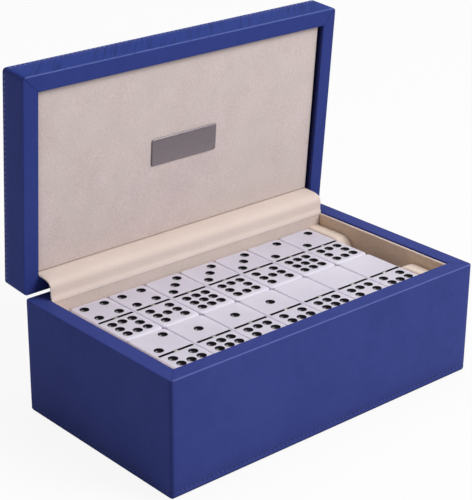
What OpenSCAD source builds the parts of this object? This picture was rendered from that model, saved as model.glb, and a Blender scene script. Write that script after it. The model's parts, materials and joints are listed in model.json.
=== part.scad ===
// Storage box for a set of double-nine dominoes: leather over a mitred wooden case,
// soft linings inside, and a shallow lid hinged along the back that stands open.
// Origin: middle of the underside. +X to the right, +Y to the hinge, +Z up. Millimetres.

/* [Dominoes] */
// Length of a domino
tile_l = 50.8; // [46:0.1:60]
// Width of a domino
tile_w = 25.4; // [24:0.1:30]
// Thickness of a domino
tile_t = 12.3; // [10:0.1:16]
// Radius of a domino's corners, seen from above
tile_corner_r = 2.5; // [1.5:0.1:4]
// Width of the bevel along a domino's edges
tile_bevel = 0.9; // [0.4:0.1:1.4]
// Play between one domino and the next
tile_gap = 0.3; // [0.2:0.05:0.8]
// Air between a spinner and the domino that lies on it
stack_play = 0.05; // [0.02:0.01:0.2]
// Diameter of a pip
pip_d = 5.5; // [3.5:0.1:5.8]
// Depth of a pip at its middle
pip_depth = 0.7; // [0.3:0.05:1.2]
// Distance between pips that stand side by side
pip_pitch = 6.7; // [6:0.1:7.2]
// How much nearer the divider a half's pips stand than the half's own middle
pip_shift = 0.2; // [0:0.05:0.5]
// Plain strip left at each end of the divider
divider_end = 1.25; // [1.1:0.05:4]
// Width of the divider
divider_w = 1.9; // [0.6:0.1:2.2]
// Depth of the divider
divider_depth = 0.4; // [0.2:0.05:1]
// Diameter of a spinner's head
spinner_head_d = 2.6; // [2:0.1:4]
// Height of a spinner's head
spinner_head_h = 0.45; // [0.2:0.05:0.8]
// Diameter of a spinner's shank
spinner_shank_d = 1.4; // [1:0.1:1.9]
// Length of a spinner's shank
spinner_shank_l = 5; // [3:0.1:8]

/* [Base] */
// Thickness of the wood in the walls of base and lid
core_t = 7; // [5:0.1:12]
// Thickness of the leather
skin_t = 1; // [0.6:0.05:1.3]
// Radius of the upright corners
corner_r = 2.2; // [0.8:0.1:4]
// Radius of the top and bottom edges
edge_r = 1.6; // [0.4:0.1:3]
// Thickness of the wooden bottom
bottom_t = 5.8; // [4:0.1:10]
// Width of the leather turned under the base
turn_under = 15; // [6:0.5:30]
// Thickness of the felt under the base
felt_t = 0.6; // [0.4:0.1:2]
// How far the felt's edge stands back from the sides
felt_inset = 2; // [1.5:0.1:5]
// Thickness of the lining boards on the walls
lining_t = 2; // [1.5:0.1:4]
// Thickness of the lining on the floor
floor_lining_t = 1.8; // [1:0.1:4]
// How far the linings stop below the rim
lining_drop = 1; // [0.4:0.1:3]
// Play between the dominoes and the front and back linings
lining_play = 0.25; // [0.15:0.05:1]
// Height of the rim above the stored dominoes
headroom = 8.1; // [6:0.1:20]

/* [End blocks] */
// Width of the padded block at each end
block_w = 9.05; // [6:0.05:30]
// Play between the dominoes and the end blocks
block_play = 0.5; // [0.1:0.05:1]
// How far the blocks stand above the dominoes
block_rise = 0.3; // [0:0.1:2]
// Radius of the blocks' top edges
block_edge_r = 1.2; // [0.4:0.1:2.5]
// Width of the thumb notch
notch_w = 41; // [25:0.5:48]
// Depth of the thumb notch
notch_depth = 34; // [32:0.5:38]
// Radius of the notch's rounded shoulders
notch_lip_r = 10; // [4:0.5:10]

/* [Lid] */
// Height of the lid
lid_h = 19.7; // [17:0.1:30]
// Depth from the lid's rim to its padded panel
lid_recess = 2.8; // [2:0.1:6]
// Thickness of the wooden lid top
lid_top_t = 6.7; // [4:0.1:8]
// Gap around the padded panel
pad_gap = 1.2; // [1:0.1:3]
// Radius of the padded panel's front edges
pad_edge_r = 1; // [0.5:0.1:3]
// Length of the blank plate
plate_l = 46.8; // [20:0.1:80]
// Width of the blank plate
plate_w = 16; // [8:0.1:30]
// Thickness of the blank plate
plate_t = 0.8; // [0.5:0.1:1.5]
// Radius of the blank plate's corners
plate_corner_r = 1.2; // [0.5:0.1:3]
// Angle that the lid stands open
open_angle = 85.9; // [75:0.1:88]

/* [Hinges] */
// Gap between the rims when the lid is shut
seam = 0.4; // [0.3:0.05:0.6]
// Distance from the end of the box to the middle of each hinge
hinge_end = 48.35; // [30:0.05:70]
// Length of a hinge
hinge_l = 32; // [26:0.5:36]
// Width of a hinge leaf, from the back of the box
leaf_w = 7.2; // [6.4:0.1:7.6]
// Thickness of a hinge leaf
leaf_t = 1; // [0.9:0.05:1.3]
// Diameter of the barrel
barrel_d = 3.2; // [3:0.1:3.6]
// Length of the base leaf's knuckle
knuckle_l = 12; // [8:0.5:14]
// Diameter of the hinge pin
pin_d = 1.6; // [1.2:0.1:1.8]
// Radial play of the pin in the lid leaf
pin_play = 0.05; // [0.02:0.01:0.1]
// How far the pin's centre stands behind the back of the box
pin_out = 0.7; // [0.6:0.05:1]
// How far the pin's centre stands above the base rim
pin_rise = 0.56; // [0.5:0.02:0.7]
// Play between knuckles, and around the barrel
knuckle_play = 0.2; // [0.1:0.05:0.3]
// Length of the stop teeth inside the barrel
stop_l = 1.5; // [1:0.1:2.5]
// Diameter of a screw's shank
screw_d = 1.6; // [1.2:0.1:2]
// Diameter of a screw's head
screw_head_d = 3; // [2.6:0.1:3.4]
// Length of a screw
screw_l = 8; // [5:0.1:9]
// Distance between the screws of one leaf
screw_pitch = 11; // [8:0.5:12]

/* [Hinge strip] */
// Thickness of the fabric strip over the hinges
strip_t = 0.8; // [0.5:0.05:1]
// Play around the strip
strip_play = 0.1; // [0.05:0.05:0.2]
// How far the strip's ends stand back from the walls
strip_inset = 1; // [0.5:0.1:4]
// How far the strip reaches down the back lining
strip_drop = 1.7; // [1.4:0.1:4]
// How far the strip leans out from the lid before it bends
strip_lid_pull = 10; // [7:0.5:11]
// How far the strip rises above the lid's edge before it bends
strip_lift = 3.4; // [0:0.1:4]
// How far the strip rises from the base before it bends
strip_base_pull = 4; // [3:0.5:12]
// How far the strip leans back over the base rim before it bends
strip_lean = 1.7; // [0:0.1:2.5]

/* [Hidden] */
$fn = 48;
eps = 0.01;
columns = 7;
rows = 2;
layers = 4;
rim_t = core_t + 2 * skin_t;
pitch_x = tile_w + tile_gap;
pitch_y = tile_l + tile_gap;
half_mid = tile_l / 4 - pip_shift;

// Inside sizes follow the dominoes, and the outside follows the inside
well_l = columns * pitch_x - tile_gap + 2 * block_play + 2 * block_w;
well_d = rows * pitch_y - tile_gap + 2 * lining_play;
inner_l = well_l + 2 * lining_t;
inner_d = well_d + 2 * lining_t;
box_l = inner_l + 2 * rim_t;
box_d = inner_d + 2 * rim_t;
core_l = box_l - 2 * skin_t;
core_d = box_d - 2 * skin_t;
board_l = inner_l + 2 * skin_t;
board_d = inner_d + 2 * skin_t;

// Heights, from the surface up
core_z = felt_t + skin_t;
board_z = core_z + bottom_t;
floor_z = board_z + floor_lining_t;
layer_pitch = tile_t + spinner_head_h + stack_play;
tiles_z = layer_z(layers - 1) + tile_t;
rim_z = tiles_z + headroom;
lining_z = rim_z - lining_drop;
block_z = tiles_z + block_rise;
lid_z = rim_z + seam;
lid_top_z = lid_z + lid_h;
pad_z = lid_z + lid_recess;
pad_t = lid_h - skin_t - lid_top_t - lid_recess;

// Hinge axis
axis_y = box_d / 2 + pin_out;
axis_z = rim_z + pin_rise;
relief_r = barrel_d / 2 + knuckle_play;
hinge_x = box_l / 2 - hinge_end;
leaf_y = box_d / 2 - leaf_w;
screw_y = box_d / 2 - leaf_w / 2 - (relief_r - pin_out) / 2;
screw_head_h = (screw_head_d - screw_d) / 2;
slot_w = 0.5;
slot_depth = 0.3;
stop_angle = -10;
stop_play = 1;

strip_l = inner_l - 2 * strip_inset;
strip_steps = 16;

// The top layer runs down from 4-8 to 0-7, from the back row's left end
TOP = [for (low = [4:-1:0]) for (high = [9:-1:7]) if (low < 4 || high < 9) [low, high]];
// Below it lie the double-six set and the rest of the nines, and a spare blank
STORED = concat(
    [for (high = [0:6]) for (low = [0:high]) [low, high]],
    [for (high = [7:9]) for (low = [0:high]) if (low > 4 || (low == 4 && high == 9)) [low, high]],
    [[0, 0]]
);
function tile_name(i) = str(TOP[i][0], "_", TOP[i][1]);
function tile_x(i) = (i % columns - (columns - 1) / 2) * pitch_x;
function tile_y(i) = (floor(i / columns) % rows == 0 ? 1 : -1) * pitch_y / 2;
function stored_z(i) = layer_z(floor(i / (columns * rows)));
function layer_z(n) = floor_z + stack_play + n * layer_pitch;

WOOD = "#b08a5c";
LEATHER = "#3f4a94";
SUEDE = "#d8c8bc";
IVORY = "#dcd8e4";
STEEL = "#b4b2b8";
BRASS = "#c0a468";
FELT = "#23264a";

// ---- Shapes used by several pieces ----

module rounded_rect(l, d, r) {
    square([l - 2 * r, d], center = true);
    square([l, d - 2 * r], center = true);
    for (x = [-1, 1], y = [-1, 1])
        translate([x * (l / 2 - r), y * (d / 2 - r)]) circle(r);
}

// A block whose top, or top and bottom, edges are rounded, standing on z = 0
module soft_block(l, d, h, upright_r, top_r, bottom_r = 0) {
    intersection() {
        linear_extrude(h) rounded_rect(l, d, upright_r);
        soft_profile(l, d, h, top_r, bottom_r);
        rotate([0, 0, 90]) soft_profile(d, l, h, top_r, bottom_r);
    }
}

// The same block's outline from the front, as long as the block is deep
module soft_profile(l, d, h, top_r, bottom_r) {
    low = bottom_r > 0 ? 0 : -h;
    rotate([90, 0, 0]) linear_extrude(d + 2, center = true)
        translate([0, (h + low) / 2]) rounded_rect(l, h - low, top_r);
}

module block_at(l, d, z0, z1) {
    translate([-l / 2, -d / 2, z0]) cube([l, d, z1 - z0]);
}

// One board of a mitred frame: side 0 is front, 1 right, 2 back, 3 left
module mitred_board(side, z0, z1) {
    out = [core_l / 2, core_d / 2];
    in = [board_l / 2, board_d / 2];
    turn = [[-1, -1], [1, -1], [1, 1], [-1, 1]];
    a = turn[side];
    b = turn[(side + 1) % 4];
    translate([0, 0, z0]) linear_extrude(z1 - z0)
        polygon([[a.x * out.x, a.y * out.y], [b.x * out.x, b.y * out.y],
                 [b.x * in.x, b.y * in.y], [a.x * in.x, a.y * in.y]]);
}

// Swings what is drawn shut to where the open lid stands
module opened() {
    translate([0, axis_y, axis_z]) rotate([-open_angle, 0, 0])
        translate([0, -axis_y, -axis_z]) children();
}

// ---- Dominoes ----

function has_pip(n, i, j) =
    i == 0 && j == 0 ? n % 2 == 1 :
    i == j ? n >= 2 :
    i == -j ? n >= 4 :
    j == 0 ? n >= 6 : n >= 8;

// The pips of one half, sunk from z = 0
module pips(n) {
    r = (pow(pip_d / 2, 2) + pow(pip_depth, 2)) / (2 * pip_depth);
    for (i = [-1:1], j = [-1:1])
        if (has_pip(n, i, j))
            translate([i * pip_pitch, j * pip_pitch, r - pip_depth]) sphere(r);
}

// The outline of a slab from one side, bevelled top and bottom
module bevelled_side(w, reach) {
    b = tile_bevel;
    x = w / 2;
    rotate([90, 0, 0]) linear_extrude(reach, center = true)
        polygon([[b - x, 0], [x - b, 0], [x, b], [x, tile_t - b],
                 [x - b, tile_t], [b - x, tile_t], [-x, tile_t - b], [-x, b]]);
}

// A domino standing on z = 0, with its first number at the back
module domino(ends) {
    difference() {
        intersection() {
            linear_extrude(tile_t) rounded_rect(tile_w, tile_l, tile_corner_r);
            bevelled_side(tile_w, tile_l + 2);
            rotate([0, 0, 90]) bevelled_side(tile_l, tile_w + 2);
        }
        translate([0, half_mid, tile_t]) pips(ends[0]);
        translate([0, -half_mid, tile_t]) pips(ends[1]);
        translate([divider_end - tile_w / 2, -divider_w / 2, tile_t - divider_depth])
            cube([tile_w - 2 * divider_end, divider_w, divider_depth + 1]);
        translate([0, 0, tile_t - divider_depth - spinner_shank_l])
            cylinder(d = spinner_shank_d, h = spinner_shank_l + 1);
    }
}

// A spinner: a shank pressed into the domino and a domed head that sits in the divider
module spinner() {
    foot = tile_t - divider_depth;
    r = (pow(spinner_head_d / 2, 2) + pow(spinner_head_h, 2)) / (2 * spinner_head_h);
    translate([0, 0, foot - spinner_shank_l]) cylinder(d = spinner_shank_d, h = spinner_shank_l);
    translate([0, 0, tile_t - divider_depth])
        cylinder(d = min(spinner_shank_d, divider_w), h = divider_depth + eps);
    translate([0, 0, tile_t]) intersection() {
        translate([0, 0, spinner_head_h - r]) sphere(r);
        cylinder(d = spinner_head_d + 1, h = spinner_head_h + 1);
    }
}

module top_domino(i) {
    color(IVORY) translate([tile_x(i), tile_y(i), layer_z(layers - 1)]) domino(TOP[i]);
}

module top_spinner(i) {
    color(BRASS) translate([tile_x(i), tile_y(i), layer_z(layers - 1)]) spinner();
}

module stored_dominoes() {
    color(IVORY) for (i = [0:len(STORED) - 1])
        translate([tile_x(i), tile_y(i), stored_z(i)]) domino(STORED[i]);
}

module stored_spinners() {
    color(BRASS) for (i = [0:len(STORED) - 1])
        translate([tile_x(i), tile_y(i), stored_z(i)]) spinner();
}

// ---- Base ----

module base_board(side) {
    color(WOOD) difference() {
        mitred_board(side, core_z, rim_z - skin_t);
        hinge_mortise();
        base_screws();
    }
}

module base_bottom() {
    color(WOOD) block_at(board_l, board_d, core_z, board_z);
}

module base_leather() {
    color(LEATHER) difference() {
        translate([0, 0, felt_t])
            soft_block(box_l, box_d, rim_z - felt_t, corner_r, edge_r, edge_r);
        difference() {
            block_at(core_l, core_d, core_z, rim_z - skin_t);
            block_at(board_l, board_d, board_z, rim_z);
        }
        block_at(inner_l, inner_d, board_z - eps, rim_z + 1);
        block_at(box_l - 2 * turn_under, box_d - 2 * turn_under, 0, core_z + eps);
        hinge_mortise();
        base_screws();
    }
}

module base_felt() {
    color(FELT) {
        block_at(box_l - 2 * felt_inset, box_d - 2 * felt_inset, 0, felt_t);
        block_at(box_l - 2 * turn_under, box_d - 2 * turn_under, 0, core_z);
    }
}

// ---- Linings ----

module front_lining() {
    color(SUEDE) translate([-well_l / 2, -inner_d / 2, floor_z])
        cube([well_l, lining_t, lining_z - floor_z]);
}

// The back lining is thinner at the top, where the hinge strip lies over it
module back_lining() {
    color(SUEDE) difference() {
        translate([-inner_l / 2, well_d / 2, floor_z]) cube([inner_l, lining_t, lining_z - floor_z]);
        translate([-inner_l / 2 - 1, well_d / 2 - 1, rim_z - strip_drop - strip_play])
            cube([inner_l + 2, 1 + strip_t + 2 * strip_play, strip_drop + 1]);
    }
}

module side_lining(side) {
    color(SUEDE) translate([side * (inner_l - lining_t) / 2 - lining_t / 2, -inner_d / 2, floor_z])
        cube([lining_t, inner_d - lining_t, lining_z - floor_z]);
}

module floor_lining() {
    color(SUEDE) block_at(inner_l, inner_d, board_z, floor_z);
}

// The outline that the thumb notch takes out of a block, in Y and Z
module notch_outline() {
    r = notch_w / 2;
    low = block_z - notch_depth + r;
    top = block_z + 1;
    translate([0, low]) circle(r);
    translate([-r, low]) square([notch_w, top - low]);
    difference() {
        translate([-r - notch_lip_r, block_z - notch_lip_r])
            square([notch_w + 2 * notch_lip_r, notch_lip_r + 1]);
        for (y = [-1, 1])
            translate([y * (r + notch_lip_r), block_z - notch_lip_r]) circle(notch_lip_r);
    }
}

module end_block(side) {
    color(SUEDE) translate([side * (well_l - block_w) / 2, 0, 0]) difference() {
        translate([0, 0, floor_z]) intersection() {
            block_at(block_w, well_d, 0, block_z - floor_z);
            soft_profile(block_w, well_d, block_z - floor_z, block_edge_r, 0);
        }
        rotate([90, 0, 90]) linear_extrude(block_w + 2, center = true) notch_outline();
    }
}

// ---- Lid, drawn shut and swung open ----

module lid_rail(side) {
    color(WOOD) opened() difference() {
        mitred_board(side, lid_z + skin_t, lid_top_z - skin_t);
        hinge_mortise();
        lid_screws();
    }
}

module lid_top() {
    color(WOOD) opened() block_at(board_l, board_d, pad_z + pad_t, lid_top_z - skin_t);
}

module lid_leather() {
    color(LEATHER) opened() difference() {
        translate([0, 0, lid_z]) soft_block(box_l, box_d, lid_h, corner_r, edge_r, edge_r);
        difference() {
            block_at(core_l, core_d, lid_z + skin_t, lid_top_z - skin_t);
            block_at(board_l, board_d, lid_z, pad_z + pad_t);
        }
        block_at(inner_l, inner_d, lid_z - 1, pad_z + pad_t + eps);
        hinge_mortise();
        lid_screws();
    }
}

module lid_pad() {
    color(SUEDE) opened() translate([0, 0, pad_z + pad_t]) mirror([0, 0, 1])
        soft_block(inner_l - 2 * pad_gap, inner_d - 2 * pad_gap, pad_t, pad_edge_r, pad_edge_r);
}

module blank_plate() {
    color(STEEL) opened() translate([0, 0, pad_z - plate_t])
        linear_extrude(plate_t) rounded_rect(plate_l, plate_w, plate_corner_r);
}

// ---- Hinges: side is -1 for the left one, 1 for the right one ----

// A round bar or ring on the hinge axis from x0 to x1
module on_axis(x0, x1, d) {
    translate([x0, axis_y, axis_z]) rotate([0, 90, 0]) cylinder(d = d, h = x1 - x0);
}

// The room that a hinge takes out of the rims of base and lid
module hinge_mortise() {
    half = hinge_l / 2 + knuckle_play;
    for (side = [-1, 1]) translate([side * hinge_x, 0, 0]) {
        translate([-half, leaf_y - knuckle_play, rim_z - leaf_t])
            cube([2 * half, axis_y - leaf_y + knuckle_play, 2 * leaf_t + seam]);
        on_axis(-half, half, 2 * relief_r);
    }
}

// A quarter ring on the axis that starts at an angle from +Y towards +Z
module stop_tooth(x0, x1, bore_d, angle) {
    intersection() {
        difference() {
            on_axis(x0, x1, barrel_d);
            on_axis(x0 - 1, x1 + 1, bore_d);
        }
        translate([x0 - 1, axis_y, axis_z]) rotate([angle, 0, 0])
            cube([x1 - x0 + 2, barrel_d, barrel_d]);
    }
}

// The base leaf carries the middle knuckle and a stop tooth on its left
module base_leaf(side) {
    mid = knuckle_l / 2;
    color(BRASS) translate([side * hinge_x, 0, 0]) {
        difference() {
            union() {
                difference() {
                    translate([-hinge_l / 2, leaf_y, rim_z - leaf_t])
                        cube([hinge_l, axis_y - leaf_y, leaf_t]);
                    on_axis(-hinge_l, -mid, 2 * relief_r);
                    on_axis(mid, hinge_l, 2 * relief_r);
                }
                on_axis(-mid, mid, barrel_d);
                stop_tooth(-mid - stop_l, -mid + eps, pin_d, stop_angle - 90);
            }
            on_axis(-hinge_l, hinge_l, pin_d);
            screw_row(side) screw_cut();
        }
    }
}

// The lid leaf carries the two outer knuckles and the tooth that meets the base leaf's
module lid_leaf(side) {
    mid = knuckle_l / 2;
    tooth_x = -mid - stop_l - knuckle_play;
    bore_d = pin_d + 2 * pin_play;
    color(BRASS) opened() translate([side * hinge_x, 0, 0]) {
        difference() {
            union() {
                difference() {
                    translate([-hinge_l / 2, leaf_y, lid_z])
                        cube([hinge_l, axis_y - leaf_y, leaf_t]);
                    on_axis(tooth_x, mid + knuckle_play, 2 * relief_r);
                }
                on_axis(-hinge_l / 2, tooth_x, barrel_d);
                on_axis(mid + knuckle_play, hinge_l / 2, barrel_d);
                stop_tooth(tooth_x - eps, -mid - knuckle_play, bore_d,
                           stop_angle + stop_play + open_angle);
            }
            on_axis(-hinge_l, hinge_l, bore_d);
            lid_side() screw_row(side) screw_cut();
        }
    }
}

module hinge_pins() {
    color(STEEL) for (side = [-1, 1]) translate([side * hinge_x, 0, 0])
        on_axis(-hinge_l / 2, hinge_l / 2, pin_d);
}

// A countersunk screw whose head ends at z = 0
module screw_cut() {
    translate([0, 0, -screw_head_h])
        cylinder(d1 = screw_d, d2 = screw_head_d, h = screw_head_h);
    translate([0, 0, -screw_l]) cylinder(d = screw_d, h = screw_l);
}

module screw() {
    difference() {
        screw_cut();
        translate([-screw_head_d, -slot_w / 2, -slot_depth])
            cube([2 * screw_head_d, slot_w, slot_depth + 1]);
    }
}

// Three places along a base leaf, on the rim
module screw_row(side) {
    for (i = [-1:1]) translate([i * screw_pitch, screw_y, rim_z]) children();
}

// Turns what is drawn on the base rim over, onto the rim of the shut lid
module lid_side() {
    translate([0, 0, 2 * rim_z + seam]) mirror([0, 0, 1]) children();
}

module base_screws() {
    for (side = [-1, 1]) translate([side * hinge_x, 0, 0]) screw_row(side) screw_cut();
}

module lid_screws() {
    lid_side() base_screws();
}

module base_hinge_screws() {
    color(STEEL) for (side = [-1, 1]) translate([side * hinge_x, 0, 0]) screw_row(side) screw();
}

module lid_hinge_screws() {
    color(STEEL) opened() lid_side()
        for (side = [-1, 1]) translate([side * hinge_x, 0, 0]) screw_row(side) screw();
}

// ---- Hinge strip: a curved sheet from the lid's back rail down the back lining ----

// Where a point of the shut lid stands when the lid is open, in Y and Z
function swung(y, z) =
    let (u = y - axis_y, v = z - axis_z, c = cos(open_angle), s = sin(open_angle))
    [axis_y + c * u + s * v, axis_z - s * u + c * v];

function bezier(p, t) =
    let (u = 1 - t)
    u * u * u * p[0] + 3 * u * u * t * p[1] + 3 * u * t * t * p[2] + t * t * t * p[3];

// A closed outline a distance to the left of a path
function thickened(path, t) =
    let (n = len(path) - 1,
         side = [for (i = [0:n])
             let (d = path[min(i + 1, n)] - path[max(i - 1, 0)])
             path[i] + t * [-d.y, d.x] / norm(d)])
    concat(path, [for (i = [n:-1:0]) side[i]]);

module hinge_strip() {
    glued = inner_d / 2 - strip_play;
    lid_end = swung(glued, pad_z);
    lid_edge = swung(glued, lid_z + strip_play);
    out = (lid_edge - lid_end) / norm(lid_edge - lid_end);
    base_y = well_d / 2 + strip_play + strip_t;
    rim_point = [base_y, rim_z];
    curve = [lid_edge, lid_edge + strip_lid_pull * out + [0, strip_lift],
             rim_point + [strip_lean, strip_base_pull], rim_point];
    path = concat([lid_end], [for (i = [0:strip_steps]) bezier(curve, i / strip_steps)],
                  [[base_y, rim_z - strip_drop]]);
    color(SUEDE) rotate([90, 0, 90]) linear_extrude(strip_l, center = true)
        polygon(thickened(path, -strip_t));
}

base_board(0);  // base_front_wall
base_board(2);  // base_back_wall
base_board(3);  // base_left_wall
base_board(1);  // base_right_wall
base_bottom();
base_leather();
base_felt();
front_lining();
back_lining();
side_lining(-1);  // left_lining
side_lining(1);  // right_lining
floor_lining();
end_block(-1);  // left_end_block
end_block(1);  // right_end_block
lid_rail(0);  // lid_front_rail
lid_rail(2);  // lid_back_rail
lid_rail(3);  // lid_left_rail
lid_rail(1);  // lid_right_rail
lid_top();
lid_leather();
lid_pad();
blank_plate();
base_leaf(-1);  // left_hinge_base_leaf
base_leaf(1);  // right_hinge_base_leaf
lid_leaf(-1);  // left_hinge_lid_leaf
lid_leaf(1);  // right_hinge_lid_leaf
hinge_pins();
base_hinge_screws();
lid_hinge_screws();
hinge_strip();
stored_dominoes();
stored_spinners();
for (i = [0:len(TOP) - 1]) {
    top_domino(i);
    top_spinner(i);
}
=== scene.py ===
# %% [markdown]
# # A box of dominoes, dressed in Blender
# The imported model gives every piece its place. This notebook keeps that frame and gives the box
# its looks: leather pulled over wooden boards, suede linings, a padded lid, a fabric strip over
# the hinges and polished dominoes. All sizes are in metres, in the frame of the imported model.

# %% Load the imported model
import json
import math

import bmesh
import bpy
from bmesh.types import BMEdge, BMFace, BMVert
from mathutils import Matrix, Vector, noise
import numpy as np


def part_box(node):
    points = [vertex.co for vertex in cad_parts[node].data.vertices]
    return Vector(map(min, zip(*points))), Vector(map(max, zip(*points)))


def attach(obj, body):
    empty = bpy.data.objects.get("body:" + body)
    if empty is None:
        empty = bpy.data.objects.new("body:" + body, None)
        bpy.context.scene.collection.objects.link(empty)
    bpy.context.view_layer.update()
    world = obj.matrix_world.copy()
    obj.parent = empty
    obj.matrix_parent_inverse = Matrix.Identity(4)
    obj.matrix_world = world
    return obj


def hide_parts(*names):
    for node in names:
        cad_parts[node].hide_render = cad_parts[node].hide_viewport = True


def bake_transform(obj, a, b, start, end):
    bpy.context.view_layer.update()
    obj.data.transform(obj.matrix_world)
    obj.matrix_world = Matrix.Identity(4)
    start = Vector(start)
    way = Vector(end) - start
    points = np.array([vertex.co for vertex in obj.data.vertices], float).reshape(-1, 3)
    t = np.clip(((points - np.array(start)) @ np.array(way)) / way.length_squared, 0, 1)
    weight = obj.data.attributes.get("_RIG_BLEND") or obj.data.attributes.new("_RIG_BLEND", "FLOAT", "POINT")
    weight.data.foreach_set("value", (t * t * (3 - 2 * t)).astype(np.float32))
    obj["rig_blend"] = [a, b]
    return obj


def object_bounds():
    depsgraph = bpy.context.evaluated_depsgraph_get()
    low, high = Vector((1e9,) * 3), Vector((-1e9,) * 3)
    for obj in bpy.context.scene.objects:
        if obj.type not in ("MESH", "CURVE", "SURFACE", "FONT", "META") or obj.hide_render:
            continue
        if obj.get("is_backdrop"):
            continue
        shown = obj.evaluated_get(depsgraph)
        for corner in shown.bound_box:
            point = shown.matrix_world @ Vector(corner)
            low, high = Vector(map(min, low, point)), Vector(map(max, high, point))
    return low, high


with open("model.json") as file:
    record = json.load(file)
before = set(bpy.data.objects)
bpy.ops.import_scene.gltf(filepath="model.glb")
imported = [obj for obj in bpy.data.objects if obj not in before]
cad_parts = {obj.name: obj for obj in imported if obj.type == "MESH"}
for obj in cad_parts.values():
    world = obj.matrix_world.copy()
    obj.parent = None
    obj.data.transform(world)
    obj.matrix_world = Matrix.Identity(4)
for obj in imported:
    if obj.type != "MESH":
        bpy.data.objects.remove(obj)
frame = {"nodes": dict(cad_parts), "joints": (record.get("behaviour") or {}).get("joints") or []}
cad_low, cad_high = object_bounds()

scene = bpy.context.scene

# %% [markdown]
# ## Camera
# A small box is shown from a little above through a long lens, so that its edges stay nearly
# parallel. The direction of view and the camera's right are given as two vectors, and its turn
# follows from them. A small shift frames the box without tilting its uprights.

# %% Camera
CAMERA_PLACE = Vector((-0.5344, -0.5892, 0.4261))
VIEW = Vector((0.60185, 0.69109, -0.40021)).normalized()
RIGHT = Vector((0.75561, -0.65501, 0.00523)).normalized()
FOCAL_MM = 113.52
SENSOR_MM = 36
SHIFT_X = 0.0206
SHIFT_Y = 0.026

camera_data = bpy.data.cameras.new("camera")
camera_data.lens = FOCAL_MM
camera_data.sensor_width = SENSOR_MM
camera_data.shift_x = SHIFT_X
camera_data.shift_y = SHIFT_Y
camera_data.clip_start = 0.01
camera = bpy.data.objects.new("camera", camera_data)
scene.collection.objects.link(camera)
up = RIGHT.cross(VIEW)
turn = Matrix((RIGHT, up, -VIEW)).transposed()
camera.matrix_world = Matrix.Translation(CAMERA_PLACE) @ turn.to_4x4()
scene.camera = camera
scene.view_settings.view_transform = "Standard"
print("camera distance:", round(CAMERA_PLACE.length, 3), "m")

# %% [markdown]
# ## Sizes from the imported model
# Every new piece takes its place from the node that it dresses. The lid stands open, so its
# boxes are read in the shut position: the points are swung back about the hinge axis first.

# %% Sizes and the hinge
MM = 0.001
hinge = next(j for j in frame["joints"] if j["name"] == "lid_hinge")
AXIS = Vector(hinge["pos_m"])
OPEN_ANGLE = -math.radians(hinge["range_deg"][0])
TURN = Matrix.Rotation(-OPEN_ANGLE, 4, "X")
SWING_OPEN = Matrix.Translation(AXIS) @ TURN @ Matrix.Translation(-AXIS)
SWING_SHUT = SWING_OPEN.inverted()
NO_SWING = Matrix.Identity(4)


def shut_box(node):
    """The lowest and highest corners of a lid node with the lid shut."""
    points = [SWING_SHUT @ v.co for v in frame["nodes"][node].data.vertices]
    low = Vector(min(p[i] for p in points) for i in range(3))
    high = Vector(max(p[i] for p in points) for i in range(3))
    return low, high


case_low, case_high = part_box("base_leather")
lid_low, lid_high = shut_box("lid_leather")
pad_low, pad_high = shut_box("lid_pad")
floor_low, floor_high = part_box("floor_lining")
BOX_L = case_high.x - case_low.x
BOX_D = case_high.y - case_low.y
RIM_Z = case_high.z
SKIN = 1 * MM
WALL = BOX_L / 2 - floor_high.x
print("box", round(BOX_L, 4), round(BOX_D, 4), "rim", round(RIM_Z, 5), "wall", round(WALL, 4))

# %% [markdown]
# ## A small language for materials
# A node tree is easier to read as sums. The class Socket wraps one output and turns +, - and *
# into Math nodes, also with a number on the left. Tree has a single method that adds any other
# node: its kind, its settings, and what goes into it. Finish is the tree of one material.


# %% Sockets and finishes
class Socket:
    """The output of a node, ready for sums."""

    def __init__(self, finish, socket):
        self.finish = finish
        self.socket = socket

    def math(self, operation, *values):
        inputs = dict(enumerate(values))
        return self.finish.node("Math", {"operation": operation}, inputs)

    def __add__(self, other):
        return self.math("ADD", self, other)

    def __sub__(self, other):
        return self.math("SUBTRACT", self, other)

    def __rsub__(self, other):
        return self.math("SUBTRACT", other, self)

    def __mul__(self, other):
        return self.math("MULTIPLY", self, other)

    __radd__ = __add__
    __rmul__ = __mul__

    def step(self, low, high):
        """0 below low, 1 above high, and a smooth rise between them."""
        settings = {"interpolation_type": "SMOOTHSTEP"}
        inputs = {"Value": self, "From Min": low, "From Max": high}
        return self.finish.node("MapRange", settings, inputs)


class Tree:
    """The nodes of a material or of the world, and the one method that adds a node."""

    def __init__(self, owner):
        owner.use_nodes = True
        self.tree = owner.node_tree
        self.tree.nodes.clear()

    def node(self, kind, settings=None, inputs=None, output=0):
        made = self.tree.nodes.new("ShaderNode" + kind)
        for key, value in (settings or {}).items():
            setattr(made, key, value)
        for key, value in (inputs or {}).items():
            self.feed(made.inputs[key], value)
        return Socket(self, made.outputs[output])

    def feed(self, socket, value):
        if isinstance(value, Socket):
            self.tree.links.new(value.socket, socket)
        else:
            socket.default_value = value

    def end(self, shader, kind="OutputMaterial"):
        self.feed(self.tree.nodes.new("ShaderNode" + kind).inputs["Surface"], shader)


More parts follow.
